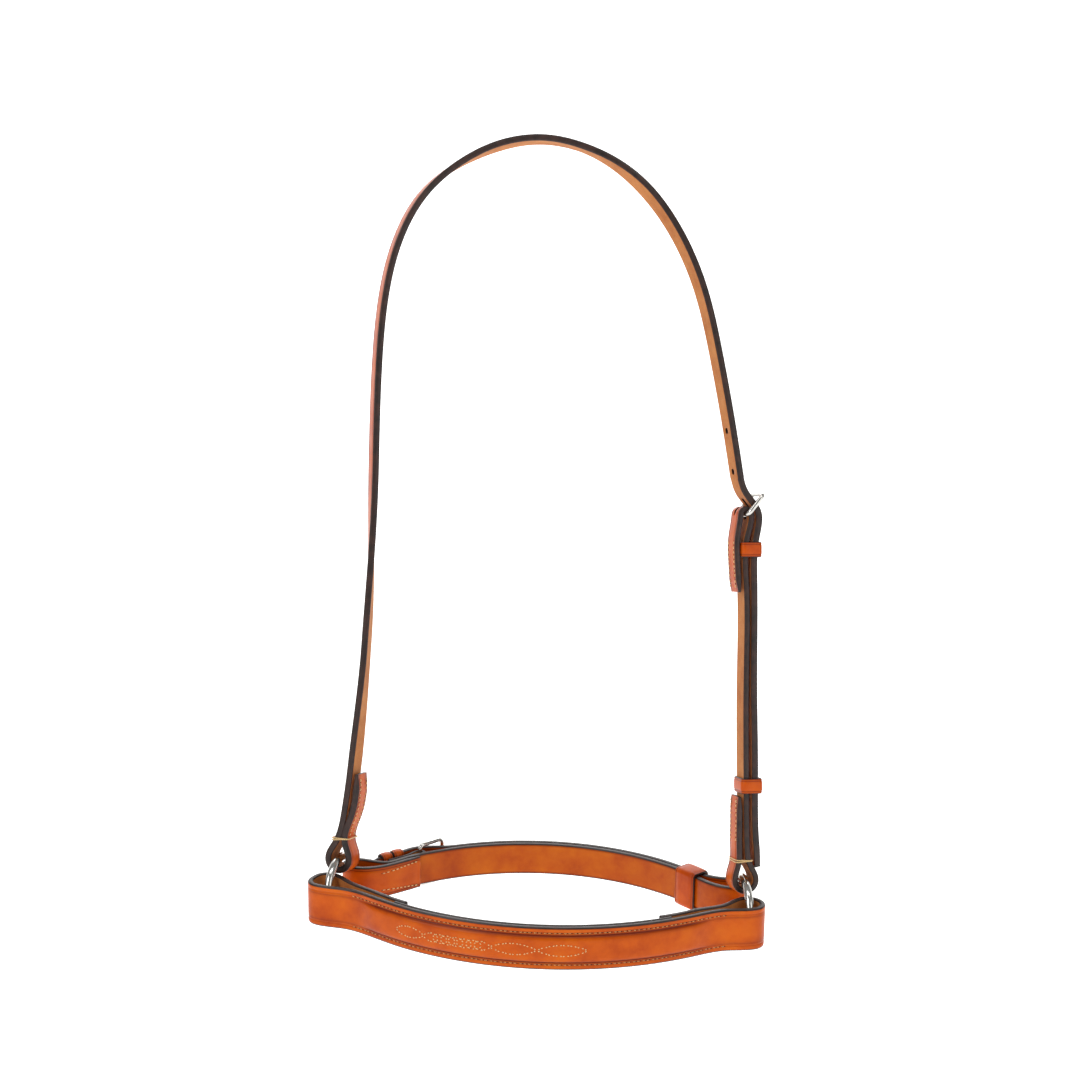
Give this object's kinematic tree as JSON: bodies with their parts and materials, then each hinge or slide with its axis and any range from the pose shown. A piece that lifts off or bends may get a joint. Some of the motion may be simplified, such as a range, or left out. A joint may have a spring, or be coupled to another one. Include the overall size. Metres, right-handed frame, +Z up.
{
  "type": "side-ring noseband with headpiece",
  "caption": "Leather side-ring noseband with raised stitched nosepiece, doubled buckled chin strap and a crown strap that buckles at the cheek.",
  "frame": {"origin": "underside of the crown strap at its highest point, where it lies over the poll or hangs on a peg", "axes": "+Z up, -Y the front of the horse's nose, +X the buckle side (the cheek strap's side)"},
  "size_m": [0.2709, 0.1395, 0.4833],
  "materials": {
    "bridle_leather": "London tan bridle leather with dyed dark brown edges",
    "lining_leather": "undyed flesh-side lining leather",
    "linen_thread": "waxed cream linen thread",
    "nickel_plate": "polished nickel plate",
    "felt_filler": "pressed felt filler, sealed inside the nosepiece"
  },
  "bodies": {
    "headpiece": {"crown_strap": "bridle_leather", "cheek_strap": "bridle_leather", "cheek_keeper_upper": "bridle_leather", "cheek_keeper_lower": "bridle_leather", "crown_loop_binding": "linen_thread", "cheek_loop_binding": "linen_thread"},
    "cheek_buckle": {"cheek_buckle_frame": "nickel_plate"},
    "cheek_tongue": {"cheek_buckle_tongue": "nickel_plate"},
    "left_ring": {"ring_left": "nickel_plate"},
    "right_ring": {"ring_right": "nickel_plate"},
    "nosepiece": {"noseband_face": "bridle_leather", "noseband_filler": "felt_filler", "noseband_lining": "lining_leather", "noseband_seam_upper": "linen_thread", "noseband_seam_lower": "linen_thread", "noseband_fancy_stitching": "linen_thread"},
    "chin_piece": {"chin_strap": "bridle_leather", "chin_buckle_chape": "bridle_leather", "chin_keeper_rear": "bridle_leather", "chin_keeper_front": "bridle_leather"},
    "chin_buckle": {"chin_buckle_frame": "nickel_plate"},
    "chin_tongue": {"chin_buckle_tongue": "nickel_plate"},
    "runner": {"chin_runner": "bridle_leather"}
  },
  "joints": [
    {"name": "left_ring_turn", "type": "hinge", "parent": "headpiece", "child": "left_ring", "pos_m": [-0.12, 0, -0.4485], "axis": [0.9744, -0.225, 0], "continuous": true},
    {"name": "right_ring_turn", "type": "hinge", "parent": "headpiece", "child": "right_ring", "pos_m": [0.12, 0, -0.4565], "axis": [0.9744, 0.225, 0], "continuous": true},
    {"name": "nosepiece_swing", "type": "hinge", "parent": "headpiece", "child": "nosepiece", "pos_m": [0, 0, -0.4525], "axis": [0.9994, 0, -0.0333], "range_deg": [-5, 22]},
    {"name": "chin_swing", "type": "hinge", "parent": "headpiece", "child": "chin_piece", "pos_m": [0, 0, -0.4525], "axis": [0.9994, 0, -0.0333], "range_deg": [-30, 4]},
    {"name": "runner_slide", "type": "slide", "parent": "chin_piece", "child": "runner", "axis": [0.7262, -0.6671, -0.1661], "range_m": [-0.008, 0.0005]},
    {"name": "cheek_buckle_tip", "type": "hinge", "parent": "headpiece", "child": "cheek_buckle", "pos_m": [0.12038, 0.00014, -0.2225], "axis": [-0.342, 0.9397, 0], "range_deg": [0, 10]},
    {"name": "cheek_tongue_lift", "type": "hinge", "parent": "cheek_buckle", "child": "cheek_tongue", "pos_m": [0.12038, 0.00014, -0.2225], "axis": [-0.342, 0.9397, 0], "range_deg": [0, 20]},
    {"name": "chin_buckle_tip", "type": "hinge", "parent": "chin_piece", "child": "chin_buckle", "pos_m": [-0.07987, 0.04227, -0.44085], "axis": [0.0326, -0.2079, 0.9776], "range_deg": [0, 10]},
    {"name": "chin_tongue_lift", "type": "hinge", "parent": "chin_buckle", "child": "chin_tongue", "pos_m": [-0.07987, 0.04227, -0.44085], "axis": [0.0326, -0.2079, 0.9776], "range_deg": [0, 20]}
  ]
}
